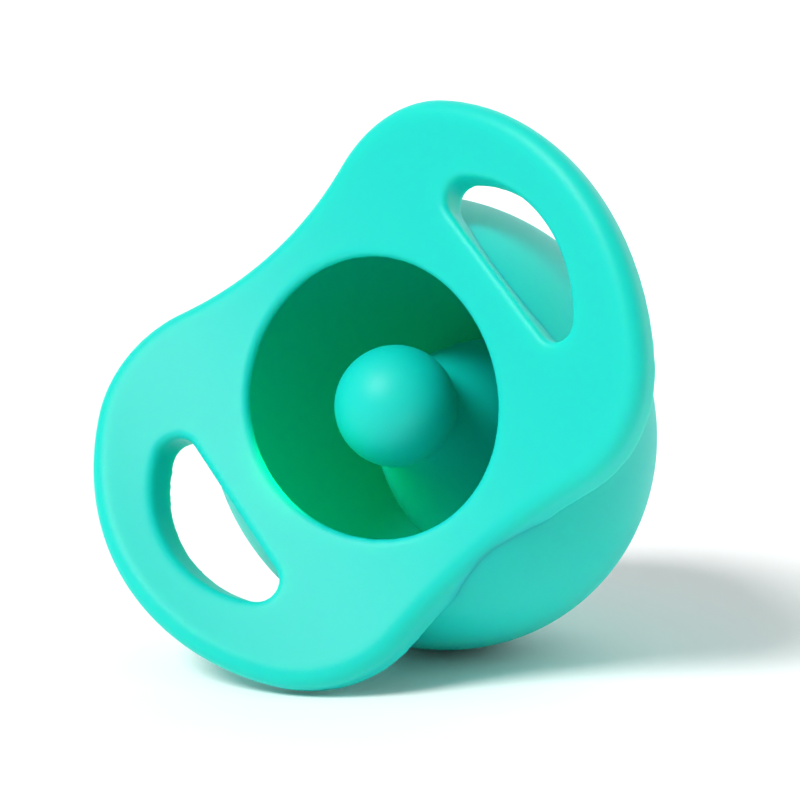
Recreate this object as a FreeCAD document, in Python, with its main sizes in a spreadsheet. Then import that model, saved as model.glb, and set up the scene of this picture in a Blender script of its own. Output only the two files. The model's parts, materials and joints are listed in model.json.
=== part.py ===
"""One-piece silicone pacifier: a butterfly shield, a hollow bubble behind it and a ball-tipped nipple inside.

The pieces are drawn in the moulding's own frame: X along the shield, Y across it, Z out of the mouth side,
with Z = 0 where the concave front face crosses the nipple's axis, so that depths run behind that point.
At the end every piece gets one shared placement, which lays the pacifier down on its bubble and one lobe,
with the lowest point at Z = 0 and the middle of the plan at X = Y = 0. All lengths are in millimetres.
"""
import FreeCAD, Part
import math
import os
import Sketcher

SIZES = (
    ("shield_length", 57.5, "end to end of the two lobes"),
    ("shield_height", 41.7, "across a lobe at its shoulders"),
    ("waist_width", 38.3, "across the shield between the lobes"),
    ("shoulder_spacing", 27.5, "between the shoulder arcs' centres, along the shield"),
    ("shoulder_radius", 11.75, "round of each shoulder"),
    ("shield_thickness", 3.8, "front face to back face"),
    ("face_curve_radius", 63.0, "hollow of the front face, bent round the short axis"),
    ("front_edge_round", 1.5, "round of the shield's front edge"),
    ("opening_edge_round", 0.5, "round of the mouth's and the vents' front edges"),
    ("mouth_length", 24.5, "mouth opening along the shield"),
    ("mouth_height", 28.3, "mouth opening across the shield"),
    ("undercut_peak", 7.5, "front face up to the peak of the cone that hollows the mouth's back"),
    ("undercut_radius", 15.6, "mouth's hollow behind its lip"),
    ("undercut_depth", 1.8, "front face to the rim of that cone"),
    ("vent_inner_offset", 16.7, "axis to the vent's straight side"),
    ("vent_arc_centre", 10.2, "axis to the centre of the vent's curved side"),
    ("vent_arc_radius", 13.2, "curved side of a vent"),
    ("vent_corner_radius", 1.8, "corners of a vent"),
    ("bubble_radius", 22.1, "outside of the bubble"),
    ("bubble_depth", 13.2, "front face to the bubble's centre"),
    ("bubble_wall", 1.8, "wall of the bubble"),
    ("roll_depth", 21.6, "front face to the ring where the bubble starts to turn inside out"),
    ("crown_depth", 32.0, "front face to the edge of the crown that moves with the nipple"),
    ("crown_gap", 0.15, "clearance between the rolling wall and the crown"),
    ("bulb_radius", 5.8, "ball at the nipple's tip"),
    ("bulb_depth", 5.1, "front face to the ball's centre"),
    ("neck_start_depth", 8.2, "front face to the end of the ball"),
    ("neck_end_depth", 12.0, "front face to the end of the neck"),
    ("neck_end_radius", 6.3, "neck where the root starts"),
    ("neck_curve_radius", 12.0, "hollow of the neck's side"),
    ("root_end_depth", 21.5, "front face to the end of the root's cone"),
    ("root_radius", 10.6, "root behind its cone"),
)
REST_ROLL = 45.5      # degrees: rise of the long axis when the pacifier lies down
BLANK_MARGIN = 4.0    # spare stock that the curved faces trim away

doc = FreeCAD.newDocument("pacifier")
sheet = doc.addObject("Spreadsheet::Sheet", "plan")
for row, (alias, value, meaning) in enumerate(SIZES, start=1):
    sheet.set(f"A{row}", meaning)
    sheet.set(f"B{row}", str(value))
    sheet.setAlias(f"B{row}", alias)
doc.recompute()


def size(alias):
    """The value of a sheet cell, for first guesses and for the resting placement."""
    return float(sheet.get(alias))


def vec(x, y, z=0.0):
    return FreeCAD.Vector(x, y, z)


# ---- small sketch helpers ------------------------------------------------------------------------------

ORIGIN = (-1, 1)      # the sketch's origin, as geometry index and point position
X_AXIS = -1
Y_AXIS = -2
START, END, CENTRE = 1, 2, 3


def new_body(name):
    body = doc.addObject("PartDesign::Body", name)
    body.Label = name
    return body


def plane_of(body, role):
    return next(f for f in body.Origin.OriginFeatures if f.Role == role)


def new_sketch(body, name, role):
    sketch = body.newObject("Sketcher::SketchObject", name)
    sketch.AttachmentSupport = [(plane_of(body, role), "")]
    sketch.MapMode = "FlatFace"
    return sketch


def bound(sketch, kind, *ends, value):
    """Adds a dimension whose value follows an expression of sheet cells."""
    now = float(sketch.evalExpression(value))
    index = sketch.addConstraint(Sketcher.Constraint(kind, *ends, now))
    sketch.setExpression(f"Constraints[{index}]", value)
    return index


def rule(sketch, kind, *ends):
    return sketch.addConstraint(Sketcher.Constraint(kind, *ends))


def right_of_origin(sketch, geometry, point, value):
    bound(sketch, "DistanceX", *ORIGIN, geometry, point, value=value)


def above_origin(sketch, geometry, point, value):
    bound(sketch, "DistanceY", *ORIGIN, geometry, point, value=value)


def behind_face(sketch, geometry, point, value):
    bound(sketch, "DistanceY", geometry, point, *ORIGIN, value=value)


def arc(centre, start, end):
    """An arc drawn anticlockwise from start to end."""
    first = math.atan2(start[1] - centre[1], start[0] - centre[0])
    last = math.atan2(end[1] - centre[1], end[0] - centre[0])
    while last <= first:
        last += 2.0 * math.pi
    radius = math.dist(centre, start)
    return Part.ArcOfCircle(Part.Circle(vec(*centre), vec(0, 0, 1), radius), first, last)


def line(start, end):
    return Part.LineSegment(vec(*start), vec(*end))


def toward(start, target, distance):
    """The point at a distance from start on the way to target."""
    share = distance / math.dist(start, target)
    return (start[0] + share * (target[0] - start[0]), start[1] + share * (target[1] - start[1]))


def feature(body, kind, name, profile, **settings):
    made = body.newObject(f"PartDesign::{kind}", name)
    made.Profile = profile
    for setting, value in settings.items():
        setattr(made, setting, value)
    body.Tip = made
    return made


def cut_through(body, name, profile):
    """A pocket right through the piece, both ways from the sketch."""
    before = body.Shape.Volume
    cut = feature(body, "Pocket", name, profile, Type="ThroughAll", Midplane=True)
    doc.recompute()
    if not body.Shape.Volume < before:
        raise RuntimeError(f"{name} removed nothing")
    return cut


def turn(body, name, profile, kind="Revolution"):
    """A full turn of the profile about the nipple's axis, which is the sketch's vertical."""
    return feature(body, kind, name, profile, ReferenceAxis=(profile, ["V_Axis"]), Angle=360.0)


# ---- shield --------------------------------------------------------------------------------------------

SHOULDER_X = "(plan.shoulder_spacing / 2)"
SHOULDER_Y = "(plan.shield_height / 2 - plan.shoulder_radius)"
END_RUN = f"(plan.shield_length / 2 - {SHOULDER_X})"
END_RADIUS = (
    f"({END_RUN} * {END_RUN} + {SHOULDER_Y} * {SHOULDER_Y} - plan.shoulder_radius * plan.shoulder_radius)"
    f" / (2 * ({END_RUN} - plan.shoulder_radius))"
)
WAIST_RISE = f"(plan.waist_width / 2 - {SHOULDER_Y})"
WAIST_RADIUS = (
    f"({SHOULDER_X} * {SHOULDER_X} + {WAIST_RISE} * {WAIST_RISE}"
    f" - plan.shoulder_radius * plan.shoulder_radius) / (2 * (plan.shoulder_radius - {WAIST_RISE}))"
)


def outline_centres():
    """Centres of the top right shoulder, the right end and the upper waist arcs."""
    radius = size("shoulder_radius")
    shoulder = (size("shoulder_spacing") / 2, size("shield_height") / 2 - radius)
    run = size("shield_length") / 2 - shoulder[0]
    end_radius = (run**2 + shoulder[1] ** 2 - radius**2) / (2 * (run - radius))
    rise = size("waist_width") / 2 - shoulder[1]
    waist_radius = (shoulder[0] ** 2 + rise**2 - radius**2) / (2 * (radius - rise))
    right_end = (size("shield_length") / 2 - end_radius, 0.0)
    upper_waist = (0.0, size("waist_width") / 2 + waist_radius)
    return shoulder, right_end, upper_waist


def draw_outline(sketch):
    """The butterfly: four shoulders, two ends and two waists, all tangent."""
    shoulder, right_end, upper_waist = outline_centres()
    radius = size("shoulder_radius")
    from_end = toward(shoulder, right_end, -radius)
    from_waist = toward(shoulder, upper_waist, radius)

    def flip(point, x_sign, y_sign):
        return (point[0] * x_sign, point[1] * y_sign)

    arcs = []
    for x_sign, y_sign in ((1, 1), (-1, 1), (-1, -1), (1, -1)):
        ends = [flip(from_end, x_sign, y_sign), flip(from_waist, x_sign, y_sign)]
        if x_sign * y_sign < 0:
            ends.reverse()
        arcs.append(arc(flip(shoulder, x_sign, y_sign), *ends))
    arcs.append(arc(right_end, flip(from_end, 1, -1), from_end))
    arcs.append(arc(flip(right_end, -1, 1), flip(from_end, -1, 1), flip(from_end, -1, -1)))
    arcs.append(arc(upper_waist, flip(from_waist, -1, 1), from_waist))
    arcs.append(arc(flip(upper_waist, 1, -1), flip(from_waist, 1, -1), flip(from_waist, -1, -1)))
    sketch.addGeometry(arcs, False)
    top_right, top_left, low_left, low_right, right, left, upper, lower = range(8)
    joints = (
        (right, END, top_right, START), (top_right, END, upper, END),
        (upper, START, top_left, START), (top_left, END, left, START),
        (left, END, low_left, START), (low_left, END, lower, END),
        (lower, START, low_right, START), (low_right, END, right, START),
    )
    for joint in joints:
        rule(sketch, "Tangent", *joint)
    right_of_origin(sketch, top_right, CENTRE, SHOULDER_X)
    above_origin(sketch, top_right, CENTRE, SHOULDER_Y)
    bound(sketch, "Radius", top_right, value="plan.shoulder_radius")
    for other, source, axis in ((top_left, top_right, Y_AXIS), (low_left, top_left, X_AXIS),
                                (low_right, top_right, X_AXIS)):
        rule(sketch, "Symmetric", source, CENTRE, other, CENTRE, axis)
        rule(sketch, "Equal", top_right, other)
    bound(sketch, "Radius", right, value=END_RADIUS)
    rule(sketch, "Equal", right, left)
    bound(sketch, "Radius", upper, value=WAIST_RADIUS)
    rule(sketch, "Equal", upper, lower)


def draw_curve_circle(sketch, radius_value, guess):
    """A circle about the axis that the shield is bent round."""
    circle = sketch.addGeometry(
        Part.Circle(vec(0, size("face_curve_radius")), vec(0, 0, 1), guess), False)
    rule(sketch, "PointOnObject", circle, CENTRE, Y_AXIS)
    above_origin(sketch, circle, CENTRE, "plan.face_curve_radius")
    bound(sketch, "Radius", circle, value=radius_value)
    return circle


def draw_stock_frame(sketch, half_width, low, high):
    """A rectangle well outside the piece, so that what lies between it and the inner loop is cut off."""
    corners = ((-half_width, low), (half_width, low), (half_width, high), (-half_width, high))
    sides = [line(corners[i], corners[(i + 1) % 4]) for i in range(4)]
    first = sketch.addGeometry(sides, False)[0]
    for i in range(4):
        rule(sketch, "Coincident", first + i, END, first + (i + 1) % 4, START)
    for i in range(4):
        rule(sketch, "Block", first + i)


def draw_mouth(sketch):
    long_half = size("mouth_height") / 2
    short_half = size("mouth_length") / 2
    ellipse = sketch.addGeometry(
        Part.Ellipse(vec(0, long_half), vec(short_half, 0), vec(0, 0)), False)
    rule(sketch, "Coincident", ellipse, CENTRE, *ORIGIN)
    sketch.exposeInternalGeometry(ellipse)
    major, minor = ellipse + 1, ellipse + 2
    rule(sketch, "Vertical", major)
    bound(sketch, "Distance", major, value="plan.mouth_height")
    bound(sketch, "Distance", minor, value="plan.mouth_length")


def draw_undercut(sketch):
    """Half of a cone on a cylinder, which widens the mouth behind a thin lip."""
    peak = (0.0, size("undercut_peak"))
    rim = (size("undercut_radius"), -size("undercut_depth"))
    low = (rim[0], -2 * size("shield_thickness"))
    base = (0.0, low[1])
    sketch.addGeometry([line(peak, base), line(base, low), line(low, rim), line(rim, peak)], False)
    axis, floor, side, cone = range(4)
    rule(sketch, "Coincident", axis, END, floor, START)
    rule(sketch, "Coincident", floor, END, side, START)
    rule(sketch, "Coincident", side, END, cone, START)
    rule(sketch, "Coincident", cone, END, axis, START)
    rule(sketch, "PointOnObject", axis, START, Y_AXIS)
    rule(sketch, "Vertical", axis)
    rule(sketch, "Horizontal", floor)
    rule(sketch, "Vertical", side)
    above_origin(sketch, axis, START, "plan.undercut_peak")
    behind_face(sketch, floor, START, "2 * plan.shield_thickness")
    right_of_origin(sketch, cone, START, "plan.undercut_radius")
    behind_face(sketch, cone, START, "plan.undercut_depth")


def draw_vent(sketch):
    """A D: straight towards the mouth, curved towards the lobe's end."""
    inner = size("vent_inner_offset")
    centre = (size("vent_arc_centre"), 0.0)
    corner = size("vent_corner_radius")
    corner_x = inner + corner
    reach = size("vent_arc_radius") - corner
    corner_y = math.sqrt(reach**2 - (corner_x - centre[0]) ** 2)
    upper = (corner_x, corner_y)
    lower = (corner_x, -corner_y)
    upper_end = toward(upper, centre, -corner)
    lower_end = toward(lower, centre, -corner)
    upper_side = (inner, corner_y)
    lower_side = (inner, -corner_y)
    sketch.addGeometry([
        arc(centre, lower_end, upper_end), arc(upper, upper_end, upper_side),
        line(upper_side, lower_side), arc(lower, lower_side, lower_end),
    ], False)
    curve, top, side, bottom = range(4)
    rule(sketch, "Tangent", curve, END, top, START)
    rule(sketch, "Tangent", top, END, side, START)
    rule(sketch, "Tangent", side, END, bottom, START)
    rule(sketch, "Tangent", bottom, END, curve, START)
    rule(sketch, "Vertical", side)
    right_of_origin(sketch, side, START, "plan.vent_inner_offset")
    bound(sketch, "Radius", top, value="plan.vent_corner_radius")
    rule(sketch, "Equal", top, bottom)
    bound(sketch, "Radius", curve, value="plan.vent_arc_radius")
    right_of_origin(sketch, curve, CENTRE, "plan.vent_arc_centre")
    rule(sketch, "PointOnObject", curve, CENTRE, X_AXIS)


def front_edges(shape):
    """Names of the front face's edges: those of its outer rim, and those of its openings."""
    radius = size("face_curve_radius")
    fronts = [f for f in shape.Faces
              if isinstance(f.Surface, Part.Cylinder) and abs(f.Surface.Radius - radius) < 1e-6]
    front = max(fronts, key=lambda f: f.Area)
    rim, openings = [], []
    for number, edge in enumerate(shape.Edges, start=1):
        if not any(edge.isSame(e) for e in front.Edges):
            continue
        on_rim = any(edge.isSame(e) for e in front.OuterWire.Edges)
        (rim if on_rim else openings).append(f"Edge{number}")
    return rim, openings


def make_shield():
    body = new_body("shield")
    outline = new_sketch(body, "shield_outline", "XY_Plane")
    draw_outline(outline)
    blank = feature(body, "Pad", "shield_blank", outline, Midplane=True)
    blank.setExpression("Length", "2 * (plan.shield_thickness + plan.shield_length / 4)")
    doc.recompute()
    hollow = new_sketch(body, "front_hollow", "XZ_Plane")
    draw_curve_circle(hollow, "plan.face_curve_radius", size("face_curve_radius"))
    cut_through(body, "front_face", hollow)
    behind = new_sketch(body, "back_relief", "XZ_Plane")
    back_radius = size("face_curve_radius") + size("shield_thickness")
    draw_stock_frame(behind, back_radius + BLANK_MARGIN, -2 * back_radius, 2 * back_radius + BLANK_MARGIN)
    draw_curve_circle(behind, "plan.face_curve_radius + plan.shield_thickness", back_radius)
    cut_through(body, "back_face", behind)
    mouth = new_sketch(body, "mouth_outline", "XY_Plane")
    draw_mouth(mouth)
    cut_through(body, "mouth", mouth)
    undercut = new_sketch(body, "undercut_section", "XZ_Plane")
    draw_undercut(undercut)
    turn(body, "mouth_undercut", undercut, kind="Groove")
    vent = new_sketch(body, "vent_outline", "XY_Plane")
    draw_vent(vent)
    one_vent = cut_through(body, "vent", vent)
    pair = body.newObject("PartDesign::Mirrored", "vent_pair")
    pair.Originals = [one_vent]
    pair.MirrorPlane = (plane_of(body, "YZ_Plane"), [""])
    body.Tip = pair
    doc.recompute()
    rim, _ = front_edges(pair.Shape)
    edge_round = body.newObject("PartDesign::Fillet", "front_edge")
    edge_round.Base = (pair, rim)
    edge_round.setExpression("Radius", "plan.front_edge_round")
    body.Tip = edge_round
    doc.recompute()
    _, openings = front_edges(edge_round.Shape)
    opening_round = body.newObject("PartDesign::Fillet", "opening_edges")
    opening_round.Base = (edge_round, openings)
    opening_round.setExpression("Radius", "plan.opening_edge_round")
    body.Tip = opening_round
    return body


# ---- bubble --------------------------------------------------------------------------------------------

def shell_radius(depth, radius):
    """How far the bubble's wall is from the axis at a depth."""
    return math.sqrt(radius**2 - (depth - size("bubble_depth")) ** 2)


def draw_shell_band(sketch, top, bottom, top_value, bottom_value):
    """The bubble's wall between two depths, ready to be turned about the axis."""
    outer = size("bubble_radius")
    inner = outer - size("bubble_wall")
    centre = (0.0, -size("bubble_depth"))
    top_outer = (shell_radius(top, outer), -top)
    top_inner = (shell_radius(top, inner), -top)
    low_outer = (shell_radius(bottom, outer), -bottom)
    low_inner = (shell_radius(bottom, inner), -bottom)
    sketch.addGeometry([
        arc(centre, low_outer, top_outer), line(top_outer, top_inner),
        arc(centre, low_inner, top_inner), line(low_inner, low_outer),
    ], False)
    outside, upper, inside, lower = range(4)
    rule(sketch, "Coincident", outside, END, upper, START)
    rule(sketch, "Coincident", upper, END, inside, END)
    rule(sketch, "Coincident", inside, START, lower, START)
    rule(sketch, "Coincident", lower, END, outside, START)
    rule(sketch, "Horizontal", upper)
    rule(sketch, "Horizontal", lower)
    rule(sketch, "PointOnObject", outside, CENTRE, Y_AXIS)
    rule(sketch, "Coincident", outside, CENTRE, inside, CENTRE)
    behind_face(sketch, outside, CENTRE, "plan.bubble_depth")
    bound(sketch, "Radius", outside, value="plan.bubble_radius")
    bound(sketch, "Radius", inside, value="plan.bubble_radius - plan.bubble_wall")
    behind_face(sketch, upper, START, top_value)
    behind_face(sketch, lower, START, bottom_value)


def make_bubble_skirt():
    """The part of the bubble that stays put, shaped to the shield's back face."""
    body = new_body("bubble_skirt")
    top = size("bubble_wall") / 2
    band = new_sketch(body, "skirt_section", "XZ_Plane")
    draw_shell_band(band, top, size("roll_depth"), "plan.bubble_wall / 2", "plan.roll_depth")
    turn(body, "skirt_shell", band)
    doc.recompute()
    seat = new_sketch(body, "shield_seat", "XZ_Plane")
    back_radius = size("face_curve_radius") + size("shield_thickness")
    draw_curve_circle(seat, "plan.face_curve_radius + plan.shield_thickness", back_radius)
    cut_through(body, "shield_seat_cut", seat)
    return body


def make_bubble_roll():
    """The part of the bubble that rolls inside out when the nipple is pushed through."""
    body = new_body("bubble_roll")
    band = new_sketch(body, "roll_section", "XZ_Plane")
    draw_shell_band(band, size("roll_depth"), size("crown_depth") - size("crown_gap"),
                    "plan.roll_depth", "plan.crown_depth - plan.crown_gap")
    turn(body, "roll_shell", band)
    return body


def make_bubble_crown():
    """The bubble's cap, which carries the nipple on its inside."""
    body = new_body("bubble_crown")
    outer = size("bubble_radius")
    inner = outer - size("bubble_wall")
    depth = size("crown_depth")
    centre = (0.0, -size("bubble_depth"))
    outer_pole = (0.0, centre[1] - outer)
    inner_pole = (0.0, centre[1] - inner)
    rim_outer = (shell_radius(depth, outer), -depth)
    rim_inner = (shell_radius(depth, inner), -depth)
    section = new_sketch(body, "crown_section", "XZ_Plane")
    section.addGeometry([
        arc(centre, outer_pole, rim_outer), line(rim_outer, rim_inner),
        arc(centre, inner_pole, rim_inner), line(inner_pole, outer_pole),
    ], False)
    outside, rim, inside, axis = range(4)
    rule(section, "Coincident", outside, END, rim, START)
    rule(section, "Coincident", rim, END, inside, END)
    rule(section, "Coincident", inside, START, axis, START)
    rule(section, "Coincident", axis, END, outside, START)
    rule(section, "Horizontal", rim)
    rule(section, "PointOnObject", outside, START, Y_AXIS)
    rule(section, "PointOnObject", inside, START, Y_AXIS)
    rule(section, "PointOnObject", outside, CENTRE, Y_AXIS)
    rule(section, "Coincident", outside, CENTRE, inside, CENTRE)
    behind_face(section, outside, CENTRE, "plan.bubble_depth")
    bound(section, "Radius", outside, value="plan.bubble_radius")
    bound(section, "Radius", inside, value="plan.bubble_radius - plan.bubble_wall")
    behind_face(section, rim, START, "plan.crown_depth")
    turn(body, "crown_shell", section)
    return body


# ---- nipple --------------------------------------------------------------------------------------------

NECK_START_RADIUS = (
    "sqrt(plan.bulb_radius * plan.bulb_radius"
    " - (plan.neck_start_depth - plan.bulb_depth) * (plan.neck_start_depth - plan.bulb_depth))"
)


def neck_start_radius():
    return math.sqrt(size("bulb_radius") ** 2 - (size("neck_start_depth") - size("bulb_depth")) ** 2)


def make_nipple_bulb():
    body = new_body("nipple_bulb")
    centre = (0.0, -size("bulb_depth"))
    tip = (0.0, centre[1] + size("bulb_radius"))
    joint = (neck_start_radius(), -size("neck_start_depth"))
    on_axis = (0.0, joint[1])
    section = new_sketch(body, "bulb_section", "XZ_Plane")
    section.addGeometry([arc(centre, joint, tip), line(tip, on_axis), line(on_axis, joint)], False)
    ball, axis, base = range(3)
    rule(section, "Coincident", ball, END, axis, START)
    rule(section, "Coincident", axis, END, base, START)
    rule(section, "Coincident", base, END, ball, START)
    rule(section, "PointOnObject", ball, END, Y_AXIS)
    rule(section, "PointOnObject", base, START, Y_AXIS)
    rule(section, "PointOnObject", ball, CENTRE, Y_AXIS)
    rule(section, "Horizontal", base)
    behind_face(section, ball, CENTRE, "plan.bulb_depth")
    bound(section, "Radius", ball, value="plan.bulb_radius")
    behind_face(section, base, END, "plan.neck_start_depth")
    turn(body, "bulb_solid", section)
    return body


def neck_curve_centre(start, end):
    """Centre of the neck's hollow side, which lies outside the neck."""
    radius = size("neck_curve_radius")
    middle = ((start[0] + end[0]) / 2, (start[1] + end[1]) / 2)
    half = math.dist(start, end) / 2
    rise = math.sqrt(radius**2 - half**2)
    along = ((end[0] - start[0]) / (2 * half), (end[1] - start[1]) / (2 * half))
    return (middle[0] - rise * along[1], middle[1] + rise * along[0])


def make_nipple_neck():
    body = new_body("nipple_neck")
    start = (neck_start_radius(), -size("neck_start_depth"))
    end = (size("neck_end_radius"), -size("neck_end_depth"))
    section = new_sketch(body, "neck_section", "XZ_Plane")
    section.addGeometry([
        arc(neck_curve_centre(start, end), start, end), line(end, (0.0, end[1])),
        line((0.0, end[1]), (0.0, start[1])), line((0.0, start[1]), start),
    ], False)
    side, base, axis, top = range(4)
    rule(section, "Coincident", side, END, base, START)
    rule(section, "Coincident", base, END, axis, START)
    rule(section, "Coincident", axis, END, top, START)
    rule(section, "Coincident", top, END, side, START)
    rule(section, "Horizontal", base)
    rule(section, "Horizontal", top)
    rule(section, "PointOnObject", axis, START, Y_AXIS)
    rule(section, "PointOnObject", axis, END, Y_AXIS)
    right_of_origin(section, side, START, NECK_START_RADIUS)
    behind_face(section, side, START, "plan.neck_start_depth")
    right_of_origin(section, side, END, "plan.neck_end_radius")
    behind_face(section, side, END, "plan.neck_end_depth")
    bound(section, "Radius", side, value="plan.neck_curve_radius")
    turn(body, "neck_solid", section)
    return body


def make_nipple_root():
    """The flare from the neck to the inside of the crown."""
    body = new_body("nipple_root")
    inner = size("bubble_radius") - size("bubble_wall")
    centre = (0.0, -size("bubble_depth"))
    top = (size("neck_end_radius"), -size("neck_end_depth"))
    cone_end = (size("root_radius"), -size("root_end_depth"))
    foot = (size("root_radius"), centre[1] - math.sqrt(inner**2 - size("root_radius") ** 2))
    pole = (0.0, centre[1] - inner)
    section = new_sketch(body, "root_section", "XZ_Plane")
    section.addGeometry([
        line((0.0, top[1]), top), line(top, cone_end), line(cone_end, foot),
        arc(centre, pole, foot), line(pole, (0.0, top[1])),
    ], False)
    lid, cone, side, floor, axis = range(5)
    rule(section, "Coincident", lid, END, cone, START)
    rule(section, "Coincident", cone, END, side, START)
    rule(section, "Coincident", side, END, floor, END)
    rule(section, "Coincident", floor, START, axis, START)
    rule(section, "Coincident", axis, END, lid, START)
    rule(section, "Horizontal", lid)
    rule(section, "Vertical", side)
    rule(section, "PointOnObject", lid, START, Y_AXIS)
    rule(section, "PointOnObject", floor, START, Y_AXIS)
    rule(section, "PointOnObject", floor, CENTRE, Y_AXIS)
    behind_face(section, floor, CENTRE, "plan.bubble_depth")
    bound(section, "Radius", floor, value="plan.bubble_radius - plan.bubble_wall")
    right_of_origin(section, cone, START, "plan.neck_end_radius")
    behind_face(section, cone, START, "plan.neck_end_depth")
    right_of_origin(section, cone, END, "plan.root_radius")
    behind_face(section, cone, END, "plan.root_end_depth")
    turn(body, "root_solid", section)
    return body


# ---- lying down ----------------------------------------------------------------------------------------

def rest_lean():
    """Degrees that the mouth looks up by when the bubble and the lower lobe both touch the table."""
    roll = math.radians(REST_ROLL)
    shoulder, _, _ = outline_centres()
    lobe_reach = shoulder[0] * math.sin(roll) + shoulder[1] * math.cos(roll) + size("shoulder_radius")
    contact_x = shoulder[0] + size("shoulder_radius") * math.sin(roll)
    hollow = size("face_curve_radius") + size("shield_thickness")
    back_edge = size("face_curve_radius") - math.sqrt(hollow**2 - contact_x**2)
    ahead = back_edge + size("bubble_depth")
    span = math.hypot(lobe_reach, ahead)
    return math.degrees(math.acos(size("bubble_radius") / span) - math.atan2(ahead, lobe_reach))


def rest_placement(shapes):
    """Rolls the long axis up, leans the mouth up, and puts the lowest point at the origin's height."""
    rolled = FreeCAD.Rotation(vec(0, 0, 1), REST_ROLL)
    leaned = FreeCAD.Rotation(vec(1, 0, 0), 90.0 - rest_lean())
    turned = leaned.multiply(rolled)
    whole = Part.makeCompound(shapes)
    whole.Placement = FreeCAD.Placement(vec(0, 0), turned)
    box = whole.optimalBoundingBox(False, False)
    return FreeCAD.Placement(vec(-box.Center.x, -box.Center.y, -box.ZMin), turned)


pieces = [
    make_shield(),
    make_bubble_skirt(),
    make_bubble_roll(),
    make_bubble_crown(),
    make_nipple_root(),
    make_nipple_neck(),
    make_nipple_bulb(),
]
doc.recompute()
placement = rest_placement([piece.Shape for piece in pieces])
for piece in pieces:
    piece.Placement = placement
doc.recompute()

for item in doc.Objects:
    if "Invalid" in item.State or "Error" in item.State:
        raise RuntimeError(f"{item.Name} failed: {item.State}")
for piece in pieces:
    if piece.Shape.isNull() or not piece.Shape.isValid() or len(piece.Shape.Solids) != 1:
        raise RuntimeError(f"{piece.Label} is not one valid solid")

os.makedirs("parts", exist_ok=True)
for piece in pieces:
    piece.Shape.exportStep(f"parts/{piece.Label}.step")
    box = piece.Shape.BoundBox
    print(f"{piece.Label}: {piece.Shape.Volume:.0f} mm3, "
          f"{box.XLength:.1f} x {box.YLength:.1f} x {box.ZLength:.1f} mm")
print(f"mouth looks up by {rest_lean():.2f} degrees")
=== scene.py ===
# %% [markdown]
# A silicone pacifier, moulded in one piece: a butterfly shield, a hollow bubble behind it, and a ball-tipped
# nipple inside the bubble. The CAD nodes are zones of that one moulding, with cuts between them that the real
# thing doesn't have. So the pieces here are modelled again as smooth soft skins that hide those cuts, and
# each one rides on the CAD body that it belongs to.

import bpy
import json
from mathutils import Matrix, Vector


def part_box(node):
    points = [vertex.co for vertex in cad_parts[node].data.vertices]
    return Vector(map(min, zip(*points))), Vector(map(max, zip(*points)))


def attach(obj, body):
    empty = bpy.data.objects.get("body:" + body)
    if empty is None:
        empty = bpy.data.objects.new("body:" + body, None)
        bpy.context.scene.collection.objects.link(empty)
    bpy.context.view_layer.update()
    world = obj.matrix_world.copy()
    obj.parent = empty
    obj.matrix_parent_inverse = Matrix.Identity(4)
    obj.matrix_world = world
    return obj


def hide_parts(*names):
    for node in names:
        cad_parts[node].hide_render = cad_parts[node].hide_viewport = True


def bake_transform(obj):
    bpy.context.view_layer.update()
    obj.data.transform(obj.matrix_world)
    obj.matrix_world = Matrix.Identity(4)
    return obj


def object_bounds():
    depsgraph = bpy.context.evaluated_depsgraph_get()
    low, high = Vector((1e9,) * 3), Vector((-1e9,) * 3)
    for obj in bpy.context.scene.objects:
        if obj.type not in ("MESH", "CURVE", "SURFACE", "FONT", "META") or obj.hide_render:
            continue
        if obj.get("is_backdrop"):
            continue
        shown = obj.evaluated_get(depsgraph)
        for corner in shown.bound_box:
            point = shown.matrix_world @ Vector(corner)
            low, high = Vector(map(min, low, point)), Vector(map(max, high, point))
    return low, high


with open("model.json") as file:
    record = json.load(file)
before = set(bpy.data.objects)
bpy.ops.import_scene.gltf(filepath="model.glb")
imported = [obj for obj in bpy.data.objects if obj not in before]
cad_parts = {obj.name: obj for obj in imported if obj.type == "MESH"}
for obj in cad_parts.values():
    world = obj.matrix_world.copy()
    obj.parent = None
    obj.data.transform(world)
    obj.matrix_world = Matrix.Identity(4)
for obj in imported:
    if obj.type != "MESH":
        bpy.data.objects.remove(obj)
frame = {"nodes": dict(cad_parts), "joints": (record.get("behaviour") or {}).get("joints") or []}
cad_low, cad_high = (list(corner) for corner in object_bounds())
print("CAD box", cad_low, cad_high)

import json
import math

import bpy
from mathutils import Matrix, Vector

MM = 0.001

# %% [markdown]
# The pieces are drawn upright, in the moulding's own axes: X along the shield, Y across it and Z out of the
# mouth, with the mouth's centre at zero. REST then lays them down as the pacifier lies on its bubble and one
# lobe. Its direction comes from the CAD joint, which slides along the nipple's axis, and its place from the
# ball, whose centre is known from the ball's box.

# %% The moulding's own axes in the frame
ROLL = math.radians(45.5)       # rise of the shield's long axis
BULB_RADIUS = 5.8 * MM
BULB_DEPTH = 5.1 * MM

front = Vector(frame["joints"][0]["axis"]).normalized()
level = Vector((1, 0, 0))
upward = front.cross(level)
long_axis = math.cos(ROLL) * level + math.sin(ROLL) * upward
cross_axis = math.cos(ROLL) * upward - math.sin(ROLL) * level

bulb_low, bulb_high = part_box("nipple_bulb")
bulb_centre = Vector((
    (bulb_low.x + bulb_high.x) / 2,
    bulb_low.y + BULB_RADIUS,
    (bulb_low.z + bulb_high.z) / 2,
))
mouth_centre = bulb_centre + BULB_DEPTH * front
REST = Matrix((long_axis, cross_axis, front)).transposed().to_4x4()
REST.translation = mouth_centre
print("mouth centre", [round(c / MM, 2) for c in mouth_centre])

# %% [markdown]
# Every piece ends the same way: its mesh lies in the frame, its object stays at the origin, its faces point
# outwards, and it is shaded smooth.

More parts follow.
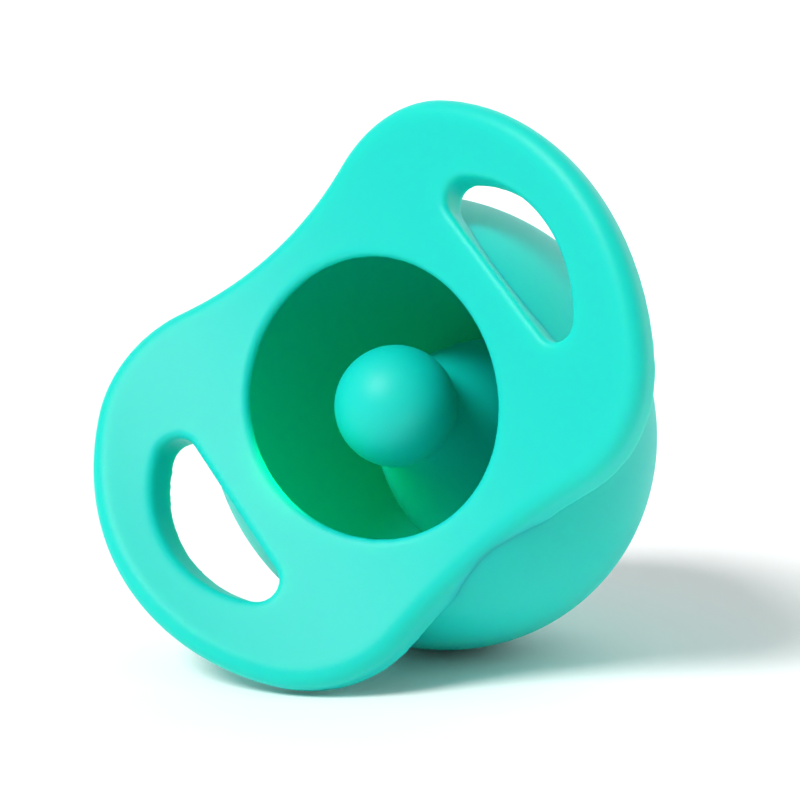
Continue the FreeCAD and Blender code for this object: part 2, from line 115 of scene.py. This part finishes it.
# %% Small helpers
def select_only(obj):
    """Selects one object and makes it the active one, which is what an operator works on."""
    bpy.ops.object.select_all(action="DESELECT")
    obj.select_set(True)
    bpy.context.view_layer.objects.active = obj


def apply_modifier(obj, kind, **settings):
    """Adds a modifier with its settings and applies it at once, so that the mesh is final."""
    select_only(obj)
    modifier = obj.modifiers.new(kind.title(), kind)
    for name, value in settings.items():
        setattr(modifier, name, value)
    bpy.ops.object.modifier_apply(modifier=modifier.name)


def clean(obj, gap=0.01 * MM):
    """Merges doubles and turns the normals outwards."""
    select_only(obj)
    bpy.ops.object.mode_set(mode="EDIT")
    bpy.ops.mesh.select_all(action="SELECT")
    bpy.ops.mesh.remove_doubles(threshold=gap)
    bpy.ops.mesh.normals_make_consistent(inside=False)
    bpy.ops.object.mode_set(mode="OBJECT")


def finish_skin(obj, name):
    """Names a finished piece and shades it smooth."""
    obj.name = name
    obj.data.name = name
    select_only(obj)
    bpy.ops.object.shade_smooth()
    print(name, len(obj.data.polygons), "faces")


# %% [markdown]
# The shield is a plate bent round its short axis, with soft front edges and a sharper back edge where the two
# halves of the mould met. The CAD shield already has that shape, so a copy of its mesh is merged, rebuilt by
# Remesh as an even skin of small faces, and relaxed by Smooth. That gives its sharp back corners the slight
# softness of moulded silicone.

# %% Shield
SKIN_STEP = 0.25 * MM
RELAX_ROUNDS = 18
MERGE_GAP = 0.002 * MM

shield = frame["nodes"]["shield"].copy()
shield.data = shield.data.copy()
shield.parent = None
shield.matrix_world = Matrix.Identity(4)
bpy.context.collection.objects.link(shield)
shield.data.materials.clear()
clean(shield, gap=MERGE_GAP)
apply_modifier(shield, "REMESH", mode="VOXEL", voxel_size=SKIN_STEP, use_smooth_shade=True)
apply_modifier(shield, "SMOOTH", factor=0.5, iterations=RELAX_ROUNDS)
finish_skin(shield, "shield_moulding")

# %% [markdown]
# The bubble is more than half a ball. It starts as a sphere whose pole is the back of the pacifier. A plane
# cuts off the front, the cut rim is lifted to follow the bent shield and put back on the sphere, and Solidify
# gives the wall its thickness, inwards. The rim ends inside the shield, just below its face, so that the
# walls of the two vents run smoothly down into the bubble. Like the mouth, the bubble is a little oval:
# narrower along the shield than across it.

# %% Bubble
BUBBLE_RADIUS = 22.1 * MM
BUBBLE_DEPTH = 13.2 * MM
BUBBLE_WALL = 1.8 * MM
RIM_DEPTH = 0.9 * MM
FACE_CURVE = 66.0 * MM
LIFT_END = 8.0 * MM
OVAL_LONG = 0.96
OVAL_CROSS = 1.03
SPHERE_SEGMENTS = 256
SPHERE_RINGS = 160

bpy.ops.object.select_all(action="DESELECT")
bpy.ops.mesh.primitive_uv_sphere_add(
    segments=SPHERE_SEGMENTS, ring_count=SPHERE_RINGS, radius=BUBBLE_RADIUS, location=(0, 0, -BUBBLE_DEPTH))
bubble = bpy.context.object
bpy.ops.object.transform_apply(location=True, rotation=True, scale=True)
bpy.ops.object.mode_set(mode="EDIT")
bpy.ops.mesh.select_all(action="SELECT")
bpy.ops.mesh.bisect(plane_co=(0, 0, -RIM_DEPTH), plane_no=(0, 0, 1), clear_outer=True)
bpy.ops.object.mode_set(mode="OBJECT")
for vertex in bubble.data.vertices:
    point = vertex.co
    share = min(max((point.z + LIFT_END) / (LIFT_END - RIM_DEPTH), 0.0), 1.0)
    lifted = point.z + share * share * point.x**2 / (2 * FACE_CURVE)
    if share > 0.0:
        reach = math.sqrt(BUBBLE_RADIUS**2 - (lifted + BUBBLE_DEPTH) ** 2)
        factor = reach / math.hypot(point.x, point.y)
        point = Vector((point.x * factor, point.y * factor, lifted))
    vertex.co = (point.x * OVAL_LONG, point.y * OVAL_CROSS, point.z)
apply_modifier(bubble, "SOLIDIFY", thickness=BUBBLE_WALL, offset=-1.0, use_even_offset=True)
bubble.data.transform(REST)
finish_skin(bubble, "bubble_moulding")

# %% [markdown]
# The nipple is turned: a profile from the tip to the foot is swept round the axis by Screw. The ball is a
# true arc. Behind it a smooth curve carries the neck out into a wide flare, whose foot ends inside the wall
# of the bubble.

# %% Nipple
NECK_START = 8.2 * MM
FLARE_END = (10.9 * MM, 25.0 * MM)
FOOT_DEPTH = 31.6 * MM
NECK_PULL = 1.6 * MM                # how far the curve runs straight on behind the ball
FLARE_PULL = (-2.6 * MM, 9.0 * MM)  # from the flare's end, inwards and forwards
PROFILE_STEPS = 40
TURN_STEPS = 160


def bezier(a, b, c, d, share):
    """The point of a cubic curve from a to d, pulled towards b and c."""
    rest = 1.0 - share
    return rest**3 * a + 3 * rest**2 * share * b + 3 * rest * share**2 * c + share**3 * d


joint_angle = math.acos((NECK_START - BULB_DEPTH) / BULB_RADIUS)
profile = []
for step in range(PROFILE_STEPS + 1):
    angle = math.pi - (math.pi - joint_angle) * step / PROFILE_STEPS
    profile.append((BULB_RADIUS * math.sin(angle), -BULB_DEPTH - BULB_RADIUS * math.cos(angle)))
start = Vector(profile[-1])
heading = Vector((-math.cos(joint_angle), -math.sin(joint_angle)))
flare_end = Vector((FLARE_END[0], -FLARE_END[1]))
neck_pull = start + heading * NECK_PULL
flare_pull = flare_end + Vector(FLARE_PULL)
for step in range(1, PROFILE_STEPS + 1):
    point = bezier(start, neck_pull, flare_pull, flare_end, step / PROFILE_STEPS)
    profile.append((point.x, point.y))
profile.append((FLARE_END[0], -FOOT_DEPTH))
profile.append((0.0, -FOOT_DEPTH))

mesh = bpy.data.meshes.new("nipple_profile")
mesh.from_pydata([(x, 0.0, z) for x, z in profile], [(i, i + 1) for i in range(len(profile) - 1)], [])
nipple = bpy.data.objects.new("nipple", mesh)
bpy.context.collection.objects.link(nipple)
apply_modifier(nipple, "SCREW", axis="Z", angle=2 * math.pi, steps=TURN_STEPS, render_steps=TURN_STEPS,
               screw_offset=0.0, use_merge_vertices=True, merge_threshold=0.001 * MM)
clean(nipple)
nipple.data.transform(REST)
finish_skin(nipple, "nipple_moulding")

# %% [markdown]
# Silicone rubber, moulded in a satin tool: a soft broad sheen, light that soaks a few millimetres below the
# skin, and a very fine even grain. The colour is a clear turquoise with no red in it. The grain is drawn
# coarser than the tool's real texture, or it wouldn't show at all.

# %% Silicone
SILICONE_HEX = "00CCC0"
GRAIN_MM = 0.35
GRAIN_HEIGHT = 0.05 * MM
SOAK_DEPTH = 3.0 * MM


def linear(hex_colour):
    """An sRGB hex colour as linear RGBA."""
    parts = [int(hex_colour[i:i + 2], 16) / 255 for i in (0, 2, 4)]
    return tuple(c / 12.92 if c <= 0.04045 else ((c + 0.055) / 1.055) ** 2.4 for c in parts) + (1.0,)


def add_node(tree, kind, links=(), **settings):
    """Adds a node, sets its properties and input values, and links outputs of other nodes to its inputs."""
    node = tree.nodes.new(kind)
    for name, value in settings.items():
        if name in node.inputs:
            node.inputs[name].default_value = value
        else:
            setattr(node, name, value)
    for source, output, target in links:
        tree.links.new(source.outputs[output], node.inputs[target])
    return node


def set_inputs(node, values):
    """Sets a node's input values by their names."""
    for name, value in values.items():
        node.inputs[name].default_value = value


silicone = bpy.data.materials.new("moulded_silicone_rubber")
silicone.use_nodes = True
tree = silicone.node_tree
skin = tree.nodes["Principled BSDF"]
set_inputs(skin, {
    "Base Color": linear(SILICONE_HEX),
    "Roughness": 0.5,
    "Specular IOR Level": 0.45,
    "IOR": 1.41,
    "Subsurface Weight": 0.8,
    "Subsurface Radius": (0.1, 1.0, 0.5),    # green soaks deepest, red hardly at all
    "Subsurface Scale": SOAK_DEPTH,
})
place = add_node(tree, "ShaderNodeTexCoord")
grain = add_node(tree, "ShaderNodeTexNoise", [(place, "Object", "Vector")],
                 Scale=1.0 / (GRAIN_MM * MM), Detail=3.0, Roughness=0.6)
relief = add_node(tree, "ShaderNodeBump", [(grain, "Fac", "Height")],
                  Strength=0.06, Distance=GRAIN_HEIGHT)
tree.links.new(relief.outputs["Normal"], skin.inputs["Normal"])
for piece in (shield, bubble, nipple):
    piece.data.materials.clear()
    piece.data.materials.append(silicone)
print("silicone", SILICONE_HEX, "on 3 pieces")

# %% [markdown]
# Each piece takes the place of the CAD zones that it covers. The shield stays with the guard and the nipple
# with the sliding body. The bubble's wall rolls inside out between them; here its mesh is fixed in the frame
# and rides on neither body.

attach(shield, "guard")
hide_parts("shield")
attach(nipple, "nipple")
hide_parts("nipple_root", "nipple_neck", "nipple_bulb")
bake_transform(bubble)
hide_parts("bubble_skirt", "bubble_roll", "bubble_crown")

# %% [markdown]
# A product picture: the pacifier lies on a white sweep, a sheet of paper that curves up far behind it, so
# that no edge of a table shows.

# %% Sweep
SWEEP_WIDTH = 5.0
SWEEP_FRONT = -1.5
SWEEP_BEND = 0.4
SWEEP_RADIUS = 0.5
SWEEP_TOP = 1.6
BEND_STEPS = 24

ground = cad_low[2]
angles = [math.pi / 2 * i / BEND_STEPS for i in range(BEND_STEPS + 1)]
bend = [
    (SWEEP_BEND + SWEEP_RADIUS * math.sin(angle), ground + SWEEP_RADIUS * (1 - math.cos(angle)))
    for angle in angles
]
edge = [(SWEEP_FRONT, ground)] + bend + [(SWEEP_BEND + SWEEP_RADIUS, ground + SWEEP_TOP)]
corners = [(x, y, z) for y, z in edge for x in (-SWEEP_WIDTH / 2, SWEEP_WIDTH / 2)]
strips = [(2 * i, 2 * i + 1, 2 * i + 3, 2 * i + 2) for i in range(len(edge) - 1)]
mesh = bpy.data.meshes.new("white_sweep")
mesh.from_pydata(corners, [], strips)
sweep = bpy.data.objects.new("white_sweep", mesh)
bpy.context.collection.objects.link(sweep)
select_only(sweep)
bpy.ops.object.shade_smooth()
paper = bpy.data.materials.new("white_paper")
paper.use_nodes = True
set_inputs(paper.node_tree.nodes["Principled BSDF"], {
    "Base Color": linear("FFFFFF"),
    "Roughness": 0.9,
    "Specular IOR Level": 0.0,
})
sweep.data.materials.append(paper)
sweep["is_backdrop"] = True
print("sweep", len(strips), "strips")

# %% [markdown]
# A sun with a wide disc stands high on the left and in front, so that its soft glint sits high on the left of
# the ball, and a white room fills in the shadow. Their shares are balanced so that the paper is just white.
# A faint green lamp just behind the mouth stands for the daylight that soaks through the bubble's thin wall.
# When the nipple pops out, its root covers the lamp.

# %% Light
SUN_FROM = Vector((-0.24, -0.67, 0.70))
SUN_STRENGTH = 2.85
SUN_DISC = math.radians(22)
ROOM_STRENGTH = 0.34
GLOW_HEX = "00FF96"
GLOW_POWER = 0.0014
GLOW_SIZE = 2.0 * MM
GLOW_PLACE = Vector((-9.0, 0.0, -2.0)) * MM

sun = bpy.data.lights.new("window", "SUN")
sun.energy = SUN_STRENGTH
sun.angle = SUN_DISC
window = bpy.data.objects.new("window", sun)
bpy.context.collection.objects.link(window)
window.rotation_euler = SUN_FROM.to_track_quat("Z", "Y").to_euler()
glow = bpy.data.lights.new("glow_in_bubble", "AREA")
glow.shape = "DISK"
glow.size = GLOW_SIZE
glow.energy = GLOW_POWER
glow.color = linear(GLOW_HEX)[:3]
lamp = bpy.data.objects.new("glow_in_bubble", glow)
bpy.context.collection.objects.link(lamp)
lamp.location = REST @ GLOW_PLACE
lamp.rotation_euler = (-0.85 * long_axis - 0.52 * front).to_track_quat("-Z", "Y").to_euler()
lamp.visible_camera = False
world = bpy.data.worlds.new("white_room")
bpy.context.scene.world = world
world.use_nodes = True
set_inputs(world.node_tree.nodes["Background"], {"Color": (1, 1, 1, 1), "Strength": ROOM_STRENGTH})
bpy.context.scene.view_settings.view_transform = "Standard"
print("sun from", [round(c, 2) for c in SUN_FROM])

# %% [markdown]
# The camera stands low, to the right of the mouth's side, and close enough for a clear perspective: what is
# nearer looks larger. It has no tilt to the side.

# %% Camera
AZIMUTH = math.radians(27.67)
ELEVATION = math.radians(9.05)
DISTANCE = 0.2322
AIM = Vector((2.38, -9.57, 26.06)) * MM
LENS_MM = 112.5

back = Vector((
    math.sin(AZIMUTH) * math.cos(ELEVATION),
    -math.cos(AZIMUTH) * math.cos(ELEVATION),
    math.sin(ELEVATION),
))
lens = bpy.data.cameras.new("camera")
lens.lens = LENS_MM
camera = bpy.data.objects.new("camera", lens)
bpy.context.collection.objects.link(camera)
camera.location = AIM + DISTANCE * back
camera.rotation_euler = back.to_track_quat("Z", "Y").to_euler()
bpy.context.scene.camera = camera
print("camera", DISTANCE / MM, "mm from its aim")
